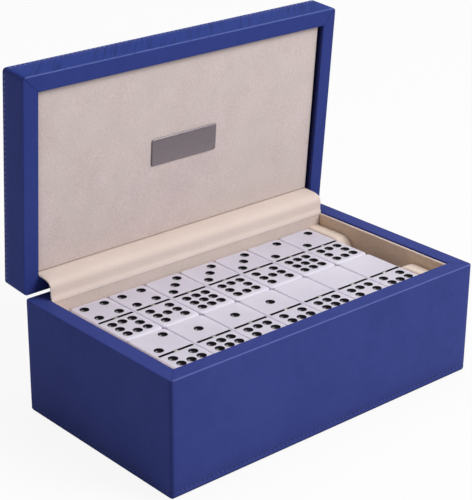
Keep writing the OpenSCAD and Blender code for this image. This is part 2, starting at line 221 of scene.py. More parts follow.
class Finish(Tree):
    """A material, with the nodes that most finishes need."""

    def __init__(self, name):
        self.material = bpy.data.materials.new(name)
        super().__init__(self.material)
        self.place = self.node("TexCoord", output="Object")

    def noise(self, scale, detail=2.0, stretch=(1, 1, 1)):
        """Clouds from 0 to 1, about 1 / scale metres wide."""
        place = self.node("Mapping", None, {"Vector": self.place, "Scale": stretch})
        inputs = {"Vector": place, "Scale": scale, "Detail": detail, "Roughness": 0.55}
        return self.node("TexNoise", None, inputs)

    def attribute(self, name):
        return self.node("Attribute", {"attribute_name": name}, None, "Fac")

    def mix(self, share, first, second):
        """A colour between two, by a share from 0 to 1."""
        settings = {"data_type": "RGBA"}
        inputs = {0: share, 6: first, 7: second}
        return self.node("Mix", settings, inputs, 2)

    def bump(self, height, depth, strength=1.0):
        inputs = {"Height": height, "Distance": depth, "Strength": strength}
        return self.node("Bump", None, inputs)

    def surface(self, **inputs):
        """Ends the material in a Principled shader; names_with_underscores are its inputs."""
        named = {key.replace("_", " "): value for key, value in inputs.items()}
        self.end(self.node("BsdfPrincipled", None, named))
        return self.material


def colour(red, green, blue):
    """A colour as it is seen on a screen, 0 to 255, in the linear numbers that shaders take."""
    parts = [part / 255 for part in (red, green, blue)]
    return (*[p / 12.92 if p < 0.04045 else ((p + 0.055) / 1.055) ** 2.4 for p in parts], 1)


print("leather blue as linear numbers:", [round(c, 3) for c in colour(64, 74, 150)])

# %% [markdown]
# ## Leather
# The case wears smooth full-grain leather, dyed through. Up close it has small pebbles and
# pores; from afar the dye lies in soft clouds. Where the leather is folded over an edge it is
# rubbed paler, and the pale line is also a painted highlight. Across the folded rims run fine
# creases, darkened with painted shade. Painted shade also darkens the stitch groove, the
# corners, the far end, the foot and the inner side of the rims, and the rims and the lid's
# front panel take a darker blue, painted shade too. Folds, grooves and rims follow the shape,
# so their masks are stored on the mesh as attributes and the rest reads the place.

# %% Leather finish
LEATHER_IOR = 1.12
BLUES = (colour(54, 64, 129), colour(59, 69, 135))
# Painted shade: a darker blue on the rims and on the lid's front panel, which looks up when the lid is open.
RIM_AND_PANEL_SHADE_BLUE = colour(32, 53, 127)
# Painted shade in the fine creases.
CREASE_SHADE_BLUE = colour(14, 24, 78)
# Painted shade in the stitch groove.
GROOVE_SHADE_BLUE = colour(28, 32, 78)
# Painted shade on the corners, the far end, the foot and inside the rims.
EDGE_SHADE_BLUE = colour(12, 13, 42)
# Wear on the folds, with a painted highlight.
WORN_HIGHLIGHT_BLUE = colour(104, 118, 182)
STREAK_TURN = math.radians(-41)
STREAK_SIZE = (1.1 * MM, 45 * MM, 15 * MM)


def crease_streaks(leather):
    """Fine slanting streaks, as a number from 0 to 1."""
    slanted = {"Vector": leather.place, "Rotation": (0, 0, STREAK_TURN), "Scale": STREAK_SIZE}
    along = leather.node("Mapping", {"vector_type": "TEXTURE"}, slanted)
    inputs = {"Vector": along, "Scale": 1, "Detail": 1}
    return leather.node("TexNoise", None, inputs).step(0.5, 0.68)


def leather_finish():
    leather = Finish("blue_leather")
    clouds = leather.noise(26, 3)
    small_clouds = leather.noise(170, 3)
    groove = leather.attribute("groove")
    creased_and_shaded = leather.attribute("creased_and_shaded")
    edge = leather.attribute("edge")
    pebbles = leather.node("TexVoronoi", None, {"Vector": leather.place, "Scale": 1500})
    pores = leather.noise(4200, 1)
    streaks = crease_streaks(leather)
    wear_and_highlight = leather.attribute("fold") * leather.noise(420, 3).step(0.2, 0.42)
    dye = (clouds * 0.6 + small_clouds * 0.4).step(0.3, 0.7)
    shade = leather.mix(dye, *BLUES)
    # Painted shade: a darker blue on the rims and the lid's front panel.
    shade = leather.mix(creased_and_shaded * 0.9, shade, RIM_AND_PANEL_SHADE_BLUE)
    # Painted shade in the creases of the lid's front panel.
    shade = leather.mix(creased_and_shaded.step(0.4, 1) * streaks * 0.42, shade, CREASE_SHADE_BLUE)
    # Painted shade in the stitch groove.
    shade = leather.mix(groove * 0.5, shade, GROOVE_SHADE_BLUE)
    # Painted shade on the corners, the far end, the foot and inside the rims.
    shade = leather.mix(edge * 0.85, shade, EDGE_SHADE_BLUE)
    # The folds: paler from wear and from a painted highlight.
    shade = leather.mix(wear_and_highlight * 0.8, shade, WORN_HIGHLIGHT_BLUE)
    relief = pebbles * 0.5 + pores * 0.25 - creased_and_shaded * streaks * 0.8
    gloss = 0.5 + clouds * 0.1 - wear_and_highlight * 0.06 + edge * 0.4
    return leather.surface(
        Base_Color=shade,
        Roughness=gloss,
        Normal=leather.bump(relief, 0.00006, 0.7),
        IOR=LEATHER_IOR,
    )


LEATHER = leather_finish()

# %% [markdown]
# ## Suede and felt
# Suede is the napped side of a hide. Its nap lies in patches that lean different ways, which
# shows as blotches a few millimetres wide, a little pinker or greyer than the rest, and each
# fibre end adds a fine tooth. Felt for the foot is the same idea, darker and more even. A paler
# colour along marked edges is a painted highlight, and the browner suede of the right side and
# the floor is a darker copy, painted shade.

# %% Suede and felt finishes
def suede_finish(name, light, dark, warm, mottle=0.5, rim=(250, 240, 234), wear_and_highlight=0.35):
    suede = Finish(name)
    light, dark, warm, rim = [colour(*seen) for seen in (light, dark, warm, rim)]
    patches = suede.noise(70, 4).step(0.3, 0.7)
    tint = suede.noise(38, 2).step(0.35, 0.65)
    nap = suede.noise(900, 3).step(0.34, 0.66)
    fibres = suede.noise(3600, 1)
    edge = suede.attribute("fold")
    shade = suede.mix(patches * (1 - mottle) + nap * mottle, dark, light)
    shade = suede.mix(tint * 0.4, shade, warm)
    # A paler colour along the marked edges is a painted highlight.
    shade = suede.mix(edge * wear_and_highlight, shade, rim)
    relief = nap * 0.7 + fibres * 0.3 + patches * 0.3
    return suede.surface(
        Base_Color=shade,
        Roughness=0.9 + nap * 0.08,
        Normal=suede.bump(relief, 0.00012, 0.6),
        Specular_IOR_Level=0.15,
        Sheen_Weight=0.25,
        Sheen_Roughness=0.6,
    )


CLOTH = suede_finish("strip_cloth", (229, 212, 202), (224, 207, 196), (228, 209, 201), 0.3)
BLOCK_SUEDE = suede_finish("block_suede", (232, 215, 202), (220, 203, 190), (228, 208, 196))
PAD_SUEDE = suede_finish("pad_suede", (216, 199, 197), (198, 182, 179), (206, 196, 189), 0.6)
BACK_SUEDE = suede_finish("back_suede", (214, 198, 188), (200, 184, 174), (208, 190, 184))
# A browner, darker copy of the lining suede for the right side and the floor: painted shade.
SHADED_SIDE_SUEDE = suede_finish(
    "shaded_side_suede", (216, 192, 168), (200, 177, 155), (213, 184, 150), 0.4, (240, 224, 226), 0.85
)
FELT = suede_finish("felt", (44, 48, 84), (30, 33, 64), (38, 40, 74))

# %% [markdown]
# ## Domino resin and enamel
# The dominoes are cast in one piece, ground flat and tumbled until their edges are glossy.
# The resin is almost white with a cool cast, and the rounded edges take a paler colour, a
# painted highlight. The pips are drilled as shallow bowls and filled with black enamel; a pale
# fleck on one side of each bowl is a painted highlight.

# %% Domino finishes
def resin_finish():
    resin = Finish("domino_resin")
    clouds = resin.noise(55, 2)
    polish = resin.noise(900, 2)
    edge = resin.attribute("fold")
    shade = resin.mix(clouds, colour(202, 198, 212), colour(207, 203, 217))
    # The paler colour on the rounded edges is a painted highlight.
    shade = resin.mix(edge * 0.6, shade, colour(224, 220, 234))
    return resin.surface(
        Base_Color=shade,
        Roughness=0.34 + polish * 0.1,
        Normal=resin.bump(polish, 0.00003, 0.3),
        Specular_IOR_Level=0.3,
        Subsurface_Weight=0.5,
        Subsurface_Radius=(1.0, 0.95, 1.0),
        Subsurface_Scale=0.0022,
    )


def enamel_finish():
    enamel = Finish("black_enamel")
    ripple = enamel.noise(1300, 2)
    glint_share = enamel.attribute("painted_glint")
    shade = enamel.mix(ripple, colour(5, 4, 8), colour(13, 12, 18))
    # A pale fleck on one side of each bowl is a painted highlight.
    shade = enamel.mix(glint_share, shade, colour(206, 204, 212))
    return enamel.surface(
        Base_Color=shade,
        Roughness=0.3 - glint_share * 0.2,
        IOR=1.1,
    )


RESIN = resin_finish()
ENAMEL = enamel_finish()

# %% [markdown]
# ## Metals, wood and thread
# Brushed metal is a plain metal with long scratches one way, so its noise is stretched along
# the brushing; a darker colour along a marked edge is painted shade. Wood is stretched the
# same way, but much wider. The thread is waxed polyester, a shade lighter than the leather in
# the base. In the lid the same thread is paler, a painted highlight from the light above.

# %% Metal, wood and thread finishes
def brushed_finish(name, dark, light, rough, stretch):
    metal = Finish(name)
    dark, light = colour(*dark), colour(*light)
    scratches = metal.noise(1, 3, stretch)
    wear = metal.noise(160, 3)
    edge = metal.attribute("fold")
    shade = metal.mix(scratches, dark, light)
    # A darker colour along a marked edge is painted shade.
    shade = metal.mix(edge * 0.5, shade, [c * 0.45 for c in dark[:3]] + [1])
    return metal.surface(
        Base_Color=shade,
        Metallic=1.0,
        Roughness=rough + wear * 0.12,
        Normal=metal.bump(scratches, 0.00002, 0.4),
    )


def wood_finish():
    wood = Finish("case_wood")
    years = wood.noise(1, 4, (18, 160, 900))
    pores = wood.noise(1, 2, (120, 2600, 2600))
    shade = wood.mix(years.step(0.3, 0.7), colour(176, 140, 96), colour(206, 174, 128))
    shade = wood.mix(pores.step(0.6, 0.75) * 0.4, shade, colour(122, 90, 58))
    return wood.surface(
        Base_Color=shade,
        Roughness=0.62 + years * 0.15,
        Normal=wood.bump(years + pores, 0.00006, 0.4),
        Specular_IOR_Level=0.3,
    )


def thread_finish(name, dark, light):
    thread = Finish(name)
    twist = thread.noise(1800, 1)
    shade = thread.mix(twist, colour(*dark), colour(*light))
    return thread.surface(
        Base_Color=shade,
        Roughness=0.55 + twist * 0.15,
        Normal=thread.bump(twist, 0.00005, 0.5),
    )


WOOD = wood_finish()
THREAD = thread_finish("thread", (38, 48, 110), (74, 86, 156))
# The same thread, paler: a painted highlight on the lid's stitches, lit from above.
LIT_THREAD = thread_finish("lit_thread", (96, 108, 184), (142, 154, 220))
BRASS = brushed_finish("brass", (176, 150, 96), (206, 182, 128), 0.28, (300, 2400, 2400))
DULL_BRASS = brushed_finish("dull_brass", (112, 114, 110), (186, 187, 182), 0.35, (2000,) * 3)
STEEL = brushed_finish("steel", (150, 150, 154), (188, 188, 192), 0.32, (300, 2400, 2400))
PLATE = brushed_finish("plate_steel", (130, 122, 127), (150, 141, 145), 0.42, (160, 3200, 3200))
print("finishes:", len([m for m in bpy.data.materials if m.use_nodes]))

# %% [markdown]
# ## From a bmesh to a piece
# Each piece is shaped as a bmesh, in its place in the box. One helper turns it into an object:
# it merges doubles, points the faces outwards, keeps sharp edges sharp under smooth shading,
# says which body the piece rides on and hides the nodes that it stands for. It also prints the
# number of faces, so every cell that makes a piece reports it.


# %% Turn a bmesh into a piece
TINY = 1e-7


def add_object(name, bm):
    """An object of the scene, with the bmesh as its mesh."""
    mesh = bpy.data.meshes.new(name)
    bm.to_mesh(mesh)
    bm.free()
    made = bpy.data.objects.new(name, mesh)
    scene.collection.objects.link(made)
    return made


def make_piece(name, bm, materials, body, replaced, sharp=0.6):
    """A piece from a bmesh. Edges that turn by more than sharp radians stay sharp."""
    bmesh.ops.remove_doubles(bm, verts=bm.verts, dist=TINY)
    bmesh.ops.recalc_face_normals(bm, faces=bm.faces)
    for face in bm.faces:
        face.smooth = True
    for edge in bm.edges:
        edge.smooth = edge.calc_face_angle(0) < sharp
    piece = add_object(name, bm)
    for material in materials:
        piece.data.materials.append(material)
    if body:
        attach(piece, body)
    if replaced:
        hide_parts(*replaced)
    print(f"{name}: {len(piece.data.polygons)} faces")
    return piece


def mask(bm, name, rule):
    """Stores a number from 0 to 1 on every vertex, worked out from its place."""
    layer = bm.verts.layers.float.get(name) or bm.verts.layers.float.new(name)
    for vert in bm.verts:
        vert[layer] = max(0, min(1, rule(vert.co)))


# %% Small helpers for meshes
def new_parts(made, kind):
    """The verts, edges or faces that an operator has made."""
    return [part for part in made["geom"] if isinstance(part, kind)]


def edges_of(verts):
    """Every edge at these verts once, in an order that is the same in each run."""
    return list(dict.fromkeys(edge for vert in verts for edge in vert.link_edges))


def pull_loop(bm, loop):
    """Extrudes a loop of edges. Returns the new verts, the new loop and the faces between."""
    made = bmesh.ops.extrude_edge_only(bm, edges=loop)
    verts = new_parts(made, BMVert)
    ends = set(verts)
    edges = [e for e in new_parts(made, BMEdge) if ends.issuperset(e.verts)]
    return verts, edges, new_parts(made, BMFace)


def span(edge, axis):
    """How far an edge reaches along an axis."""
    return abs(edge.verts[0].co[axis] - edge.verts[1].co[axis])


def round_off(bm, parts, radius, steps, affect="EDGES"):
    """Bevels edges, or the corners of a flat outline, with a round of this radius."""
    bmesh.ops.bevel(
        bm, geom=parts, offset=radius, affect=affect, segments=steps, profile=0.5, material=-1
    )


# %% [markdown]
# ## Leather over the case
# A case like this is four boards and a bottom, and the leather is glued over all of them: it
# starts under the bottom, runs up the wall, folds over the rim and goes down inside. That is
# one outline carried round the four sides, so it can be lofted: a loop of edges is extruded
# from each point of the outline to the next. The loop is a circle whose quarters are pulled
# apart, and every point of it keeps a seat number, which an extrusion hands on. A cube with
# bevels would also give the outside, but not the true thickness, the stitch groove or the fold.

# %% Loops and lofts
CORNER_POINTS = 5
TIGHTEST_R = 0.35 * MM


def spread_loop(verts, seat, length, depth, radius, height):
    """Pulls the quarters of a circle apart into a rounded rectangle."""
    for vert in verts:
        corner, point = divmod(vert[seat], CORNER_POINTS)
        arc = math.pi / 2 * (corner + point / (CORNER_POINTS - 1))
        side_x = (1, -1, -1, 1)[corner]
        side_y = (1, 1, -1, -1)[corner]
        x = side_x * (length / 2 - radius) + radius * math.cos(arc)
        y = side_y * (depth / 2 - radius) + radius * math.sin(arc)
        vert.co = (x, y, height)


def loft(bm, outline, length, depth, corner_r, closed):
    """Extrudes a rounded loop from each (inset, height) of the outline to the next."""
    seat = bm.verts.layers.int.new("seat")
    verts = bmesh.ops.create_circle(bm, segments=4 * CORNER_POINTS, radius=1)["verts"]
    verts.sort(key=lambda v: math.atan2(v.co.y, v.co.x))
    for number, vert in enumerate(verts):
        vert[seat] = number
    first = loop = edges_of(verts)
    for step, (inset, height) in enumerate(outline + outline[:1] * closed):
        if step > 0:
            verts, loop, _ = pull_loop(bm, loop)
        radius = max(corner_r - inset, TIGHTEST_R)
        spread_loop(verts, seat, length - 2 * inset, depth - 2 * inset, radius, height)
    if closed:
        bmesh.ops.remove_doubles(bm, verts=bm.verts, dist=TINY)
    else:
        bmesh.ops.contextual_create(bm, geom=first)
        bmesh.ops.contextual_create(bm, geom=loop)


def divide_sides(bm, length, depth, step):
    """Cuts the straight sides of every loop into short steps, so that they can be shaped."""
    seat = bm.verts.layers.int["seat"]
    for axis, reach in ((0, length), (1, depth)):
        sides = []
        for edge in bm.edges:
            a, b = edge.verts
            straight = a[seat] // CORNER_POINTS != b[seat] // CORNER_POINTS
            if straight and span(edge, axis) > span(edge, 1 - axis):
                sides.append(edge)
        bmesh.ops.subdivide_edges(bm, edges=sides, cuts=round(reach / step), use_grid_fill=True)


def arc_points(inset, height, radius, start, end, steps):
    """Points on an arc of the outline, as (inset, height). A negative radius turns it over."""
    points = []
    for i in range(steps + 1):
        angle = math.radians(start + (end - start) * i / steps)
        points.append((inset + abs(radius) * math.cos(angle), height + radius * math.sin(angle)))
    return points


# %% [markdown]
# The outline of the base runs from under the bottom to the inside and back along the flesh side
# of the leather. Its stitch groove lies a little above the bottom edge. The lid has the same
# wall turned over, with its groove beside the top panel, and its top is leather all over.

# %% Outlines
CORNER_R = 2.2 * MM
BOTTOM_R = 1.8 * MM
FOLD_R = 0.75 * MM
INNER_R = 0.8 * MM
BEAD_R = 0.48 * MM
BEAD_FOOT = 1.1 * MM
TURNED_UNDER = 15 * MM
TOP_INSETS = [inset * MM for inset in (50, 38, 26, 15, 8, 4)]
GROOVE_DEPTH = 0.22 * MM
GROOVE_HALF = 0.55 * MM
BASE_STITCH_Z = case_low.z + 3.7 * MM
LID_STITCH_Z = lid_high.z - 2.6 * MM


def steps_between(start, end, count):
    """Numbers at equal steps between two others, which are left out."""
    return [start + (end - start) * i / (count + 1) for i in range(1, count + 1)]


def wall_outline(foot, rim, stitch_z, step):
    """A wall from the arc at its foot, over the groove, the fold and the rim, to the bead."""
    up = math.copysign(1, rim - foot)
    points = arc_points(BOTTOM_R, foot + up * BOTTOM_R, up * BOTTOM_R, 270, 180, 4)
    for side, deep in ((-1, 0), (-0.5, 0.6), (0, 1), (0.5, 0.6), (1, 0)):
        points.append((GROOVE_DEPTH * deep, stitch_z + up * GROOVE_HALF * side))
    low, high = stitch_z + up * GROOVE_HALF, rim - up * FOLD_R
    points += [(0, z) for z in steps_between(low, high, int(abs(high - low) / step))]
    points += arc_points(FOLD_R, high, up * FOLD_R, 180, 90, 6)
    points += [(inset, rim) for inset in steps_between(FOLD_R, WALL - INNER_R, 4)]
    points += arc_points(WALL - BEAD_R, rim - up * BEAD_R, up * BEAD_R, 90, -60, 5)
    return points + [(WALL, rim - up * BEAD_FOOT)]


def base_outline():
    bottom, inside = case_low.z, floor_low.z
    points = [(TURNED_UNDER, bottom), (6 * MM, bottom)]
    points += wall_outline(bottom, RIM_Z, BASE_STITCH_Z, 8 * MM)
    points += [(WALL, RIM_Z - 4 * MM), (WALL, inside), (WALL - SKIN, inside)]
    points += [(WALL - SKIN, RIM_Z - SKIN), (SKIN, RIM_Z - SKIN)]
    points += [(SKIN, bottom + SKIN), (TURNED_UNDER, bottom + SKIN)]
    return points


def lid_outline():
    rim, top, inside = lid_low.z, lid_high.z, pad_high.z
    points = [(inset, top) for inset in TOP_INSETS]
    points += wall_outline(top, rim, LID_STITCH_Z, 5 * MM)
    points += [(WALL, pad_low.z), (WALL, inside - 1 * MM), (WALL, inside), (WALL - SKIN, inside)]
    points += [(WALL - SKIN, rim + SKIN), (SKIN, rim + SKIN)]
    points += [(SKIN, top - SKIN), (TOP_INSETS[0], top - SKIN)]
    return points


print("outline points:", len(base_outline()), "and", len(lid_outline()))

# %% [markdown]
# Leather is never dead flat. A slow wave of a tenth of a millimetre, the pinched fold along
# the long edges and the mitred seams at the rim's corners are pushed into the loft. The long
# panels are folded over the rim with a sharp crease, and the short ends are rolled softly.
# First come the rules: each says how strongly a point of the leather has some feature.


# %% Where the leather is folded, sewn or creased, and where shade is painted
PINCH_INSET = 0.22 * MM
PINCH_REACH = 0.5 * MM
PINCH_END = 1.4 * MM
SEAM_HALF = 0.12 * MM
SHADE_DEPTH = 2.6 * MM
FLAT = 0.05 * MM


def near(value, goal, reach):
    """1 at the goal, falling to 0 at a distance of reach."""
    return max(0, 1 - abs(value - goal) / reach)


def is_outside(co):
    return abs(co.x) > BOX_L / 2 - 0.5 * MM or abs(co.y) > BOX_D / 2 - 0.5 * MM


def fold_share(co, rim, outward):
    """How strongly a point lies on the pinched fold along a rim's long edge."""
    along_y = near(abs(co.y), BOX_D / 2 - PINCH_INSET, PINCH_REACH)
    along_z = near(co.z, rim - outward * PINCH_INSET, PINCH_REACH)
    return min(along_y, along_z) * (abs(co.x) < BOX_L / 2 - PINCH_END)


def seam_share(co, rim):
    """How strongly a point lies on a mitred seam across a rim's corner."""
    across = abs((BOX_L / 2 - abs(co.x)) - (BOX_D / 2 - abs(co.y)))
    return near(across, 0, SEAM_HALF) * (abs(co.z - rim) < FLAT)


def crease_and_shade_share(co, rim, front_crease_and_shade):
    """How creased, and how darkened by painted shade: a little on a rim, most on the lid's front panel."""
    on_rim = (0.12 + 0.22 * front_crease_and_shade) * (abs(co.z - rim) < 0.3 * MM)
    return max(on_rim, front_crease_and_shade * near(co.y, -BOX_D / 2, 0.6 * MM))


def inner_shade_share(co, rim, foot):
    """How much painted shade lies on the inner side of a rim: more, the deeper it goes."""
    in_x = abs(co.x) < BOX_L / 2 - WALL + 0.1 * MM
    in_y = abs(co.y) < BOX_D / 2 - WALL + 0.1 * MM
    turned_in = in_x and in_y and abs(co.z - foot) > BOTTOM_R
    return min(1, abs(co.z - rim) / SHADE_DEPTH) * turned_in


def edge_shade_share(co, rim, foot):
    """How much painted shade a point takes: on upright corners, along the far end, round the foot."""
    corner = Vector((abs(co.x) - BOX_L / 2 + CORNER_R, abs(co.y) - BOX_D / 2 + CORNER_R))
    on_corner = min(corner) > 0.01 * MM and corner.length > CORNER_R - 0.3 * MM
    upright = near(math.atan2(corner.y, corner.x), math.pi / 4, math.pi / 4) * on_corner
    far_end = near(co.x, BOX_L / 2 - 0.2 * MM, 0.6 * MM) * near(co.z, rim, 0.6 * MM)
    outside = max(abs(co.x) - BOX_L / 2, abs(co.y) - BOX_D / 2) + BOTTOM_R
    height = BOTTOM_R - abs(co.z - foot)
    on_foot = outside > 0.01 * MM and height > 0.01 * MM
    at_foot = near(math.atan2(height, outside), math.pi / 4, math.pi / 3) * on_foot
    return max(0.4 * upright, far_end, at_foot)


# %% Shape the leather
PINCH_OUT, PINCH_UP = 0.12 * MM, 0.1 * MM
SEAM_DEPTH = 0.3 * MM
WAVE, SMALL_WAVE, RIM_WAVE = 0.09 * MM, 0.02 * MM, 0.05 * MM
WAVY_BAND = 0.4 * MM


def shape_leather(bm, rim, foot, outward, stitch_z, front_crease_and_shade):
    """Adds waves, the fold, the seams and the masks. Outward is +1 where the rim faces up."""
    # The fold mask carries a painted highlight; the groove, crease and edge masks carry painted shade.
    mask(bm, "fold", lambda co: fold_share(co, rim, outward))
    mask(bm, "groove", lambda co: near(co.z, stitch_z, 0.6 * MM) * is_outside(co))
    mask(bm, "creased_and_shaded", lambda co: crease_and_shade_share(co, rim, front_crease_and_shade))
    mask(bm, "edge", lambda co: max(edge_shade_share(co, rim, foot), inner_shade_share(co, rim, foot)))
    for vert in bm.verts:
        co = vert.co.copy()
        fold = fold_share(co, rim, outward)
        if fold > 0:
            vert.co.y += math.copysign(PINCH_OUT * fold, co.y)
            vert.co.z += outward * PINCH_UP * fold
        vert.co.z -= outward * SEAM_DEPTH * seam_share(co, rim)
        if is_outside(co):
            wave = noise.noise(co * 45) * WAVE + noise.noise(co * 160) * SMALL_WAVE
            if abs(abs(co.x) - BOX_L / 2) < WAVY_BAND:
                vert.co.x += math.copysign(wave, co.x)
            if abs(abs(co.y) - BOX_D / 2) < WAVY_BAND:
                vert.co.y += math.copysign(wave, co.y)
        elif abs(co.z - rim) < FLAT:
            vert.co.z -= outward * RIM_WAVE * (1 + noise.noise(co * 120))


# %% Let the inner fold overhang
BEAD_OVERHANG = 0.8 * MM
LID_BEAD_OVERHANG = 0.6 * MM
BEAD_DEPTH = 1.05 * MM
BEAD_BAND = 2.2 * MM
BEAD_FADE = 2.4 * MM
BEAD_SLACK = 0.1 * MM


def overhang(bm, rim, outward, sides, reach):
    """Pushes the inner fold of a rim out over the linings, at sides like (0, -1), the left."""
    halves = (BOX_L / 2 - WALL, BOX_D / 2 - WALL)
    for vert in bm.verts:
        off_wall = max(abs(vert.co[axis]) - halves[axis] for axis in (0, 1))
        depth = (rim - vert.co.z) * outward
        if depth > BEAD_DEPTH or off_wall > BEAD_BAND:
            continue
        for axis, side in sides:
            off = side * vert.co[axis] - halves[axis]
            if -BEAD_SLACK < off < BEAD_BAND:
                vert.co[axis] -= side * reach * min(1, 1 - off / BEAD_FADE)


# %% Cut the hinge mortises
def cut(piece, cutter):
    """Takes one closed mesh out of another and keeps the result as the piece's mesh."""
    bpy.context.view_layer.update()
    change = piece.modifiers.new("cut", "BOOLEAN")
    change.operation = "DIFFERENCE"
    change.solver = "EXACT"
    change.object = cutter
    depsgraph = bpy.context.evaluated_depsgraph_get()
    result = bpy.data.meshes.new_from_object(piece.evaluated_get(depsgraph), depsgraph=depsgraph)
    piece.modifiers.clear()
    piece.data = result
    bpy.data.objects.remove(cutter)
    print(f"{piece.name}: {len(result.polygons)} faces after the cut")


leaf_low, leaf_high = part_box("left_hinge_base_leaf")
LEAF_T = RIM_Z - leaf_low.z
HINGE_X = -(leaf_low.x + leaf_high.x) / 2
HINGE_HALF = (leaf_high.x - leaf_low.x) / 2 + 0.2 * MM
CUT_PAST_RIM, CUT_PAST_AXIS = 3 * MM, 4 * MM


def mortise_cutter(low_z, high_z, matrix):
    """Two blocks: the room that the hinges take out of a rim."""
    bm = bmesh.new()
    depth = AXIS.y + CUT_PAST_AXIS - leaf_low.y
    size = Matrix.Diagonal((2 * HINGE_HALF, depth, high_z - low_z, 1))
    for side in (-1, 1):
        middle = Vector((side * HINGE_X, leaf_low.y + depth / 2, (low_z + high_z) / 2))
        bmesh.ops.create_cube(bm, size=1, matrix=matrix @ Matrix.Translation(middle) @ size)
    return add_object("mortise_cutter", bm)


# %% Base and lid leather
SIDE_STEP = 4 * MM


def wrap(outline, closed):
    """The leather as a bmesh: an outline carried round the case."""
    bm = bmesh.new()
    loft(bm, outline, BOX_L, BOX_D, CORNER_R, closed)
    divide_sides(bm, BOX_L, BOX_D, SIDE_STEP)
    bmesh.ops.recalc_face_normals(bm, faces=bm.faces)
    return bm


def base_leather():
    bm = wrap(base_outline(), closed=True)
    shape_leather(bm, RIM_Z, case_low.z, 1, BASE_STITCH_Z, 0)
    overhang(bm, RIM_Z, 1, ((0, -1), (0, 1), (1, -1)), BEAD_OVERHANG)
    return make_piece("base_cover", bm, [LEATHER], "base", ["base_leather"])


def lid_leather():
    bm = wrap(lid_outline(), closed=False)
    shape_leather(bm, lid_low.z, lid_high.z, -1, LID_STITCH_Z, 1)
    overhang(bm, lid_low.z, -1, ((0, -1), (1, -1)), LID_BEAD_OVERHANG)
    bmesh.ops.transform(bm, matrix=SWING_OPEN, verts=bm.verts)
    return make_piece("lid_cover", bm, [LEATHER], "lid", ["lid_leather"])


base_cover = base_leather()
lid_cover = lid_leather()
cut(base_cover, mortise_cutter(leaf_low.z, RIM_Z + CUT_PAST_RIM, NO_SWING))
cut(lid_cover, mortise_cutter(lid_low.z - CUT_PAST_RIM, lid_low.z + LEAF_T, SWING_OPEN))

# %% [markdown]
# ## Stitches
# A machine sews the cover with a waxed thread. Each stitch is a short rounded bar that lies in
# the groove and dips in at both ends. Hundreds are needed, so each is a squashed sphere of two
# dozen faces, laid along the four sides of the groove.


# %% Stitches
STITCH_PITCH = 3.0 * MM
STITCH_L = 2.1 * MM
STITCH_D = 0.5 * MM
STITCH_LIFT = 0.06 * MM
CORNER_GAP = 5 * MM


def stitch_row(bm, height):
    """One stitch after another along the four sides of a groove."""
    for axis, length, half in ((0, BOX_L, BOX_D / 2), (1, BOX_D, BOX_L / 2)):
        run = length - CORNER_GAP
        count = round(run / STITCH_PITCH)
        size = Vector((STITCH_D,) * 3)
        size[axis] = STITCH_L
        where = Vector((0, 0, height))
        for side in (-1, 1):
            where[1 - axis] = side * (half - GROOVE_DEPTH + STITCH_LIFT)
            for i in range(count):
                where[axis] = -run / 2 + (i + 0.5) * run / count
                place = Matrix.Translation(where) @ Matrix.Diagonal((*size, 1))
                bmesh.ops.create_uvsphere(bm, u_segments=6, v_segments=4, radius=0.5, matrix=place)


def stitches(name, body, height, matrix, thread):
    bm = bmesh.new()
    stitch_row(bm, height)
    bmesh.ops.transform(bm, matrix=matrix, verts=bm.verts)
    make_piece(name, bm, [thread], body, ())


stitches("base_stitches", "base", BASE_STITCH_Z, NO_SWING, THREAD)
stitches("lid_stitches", "lid", LID_STITCH_Z, SWING_OPEN, LIT_THREAD)

# %% [markdown]
# ## Soft boards
# The linings are thin cards covered in suede, so they are boxes with soft edges. A box that
# has to bend needs points to bend with: a cube is sliced by planes, closer together near its
# edges, and the points near an edge are pulled on to a round. The same helper makes the lid's
# pad, whose face is crowned afterwards.


# %% A sliced box with round edges
def sliced_box(bm, low, high, radius, spacing):
    """A box from low to high, sliced finely, with edges of the given radius."""
    size = high - low
    place = Matrix.Translation((low + high) / 2) @ Matrix.Diagonal((*size, 1))
    bmesh.ops.create_cube(bm, size=1, matrix=place)
    for axis in range(3):
        inner = size[axis] - 2 * radius
        cuts = [radius - radius * math.tan(math.radians(turn)) for turn in (0, 15, 30, 45)]
        cuts += steps_between(radius, radius + inner, round(inner / spacing) - 1)
        cuts += [size[axis] - distance for distance in cuts]
        normal = Vector((0, 0, 0))
        normal[axis] = 1
        for distance in sorted({c for c in cuts if TINY < c < size[axis] - TINY}):
            point = low + normal * distance
            geometry = bm.verts[:] + bm.edges[:] + bm.faces[:]
            bmesh.ops.bisect_plane(bm, geom=geometry, dist=1e-8, plane_co=point, plane_no=normal)
    inner_low = low + Vector((radius,) * 3)
    inner_high = high - Vector((radius,) * 3)
    for vert in bm.verts:
        core = Vector(max(a, min(b, c)) for a, b, c in zip(inner_low, inner_high, vert.co))
        push = vert.co - core
        if push.length > 0:
            vert.co = core + push.normalized() * radius


# %% Linings
BOARD_R = 0.95 * MM
BOARD_STEP = 12 * MM
HIGHLIGHT_BAND = 0.5 * MM


def lining(node, material):
    low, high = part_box(node)
    name = node.replace("lining", "suede_board")
    bm = bmesh.new()
    sliced_box(bm, low, high, min(BOARD_R, (high.z - low.z) / 2 - 0.01 * MM), BOARD_STEP)
    # A paler colour along the top edge is a painted highlight.
    mask(bm, "fold", lambda co: near(co.z, high.z, HIGHLIGHT_BAND) * (node != "floor_lining"))
    make_piece(name, bm, [material], "base", [node])


lining("right_lining", SHADED_SIDE_SUEDE)
lining("floor_lining", SHADED_SIDE_SUEDE)
lining("front_lining", BACK_SUEDE)
lining("left_lining", BACK_SUEDE)

# %% [markdown]
# The back board is thinner at the top, where the strip over the hinges lies on it. Its plain
# node already has that step, so it keeps its shape and only takes the suede.

# %% Finishes for the nodes that keep their shape
def dress(material, *nodes):
    for node in nodes:
        piece = frame["nodes"][node]
        if not piece.material_slots:
            piece.data.materials.append(material)
        for slot in piece.material_slots:
            slot.material = material


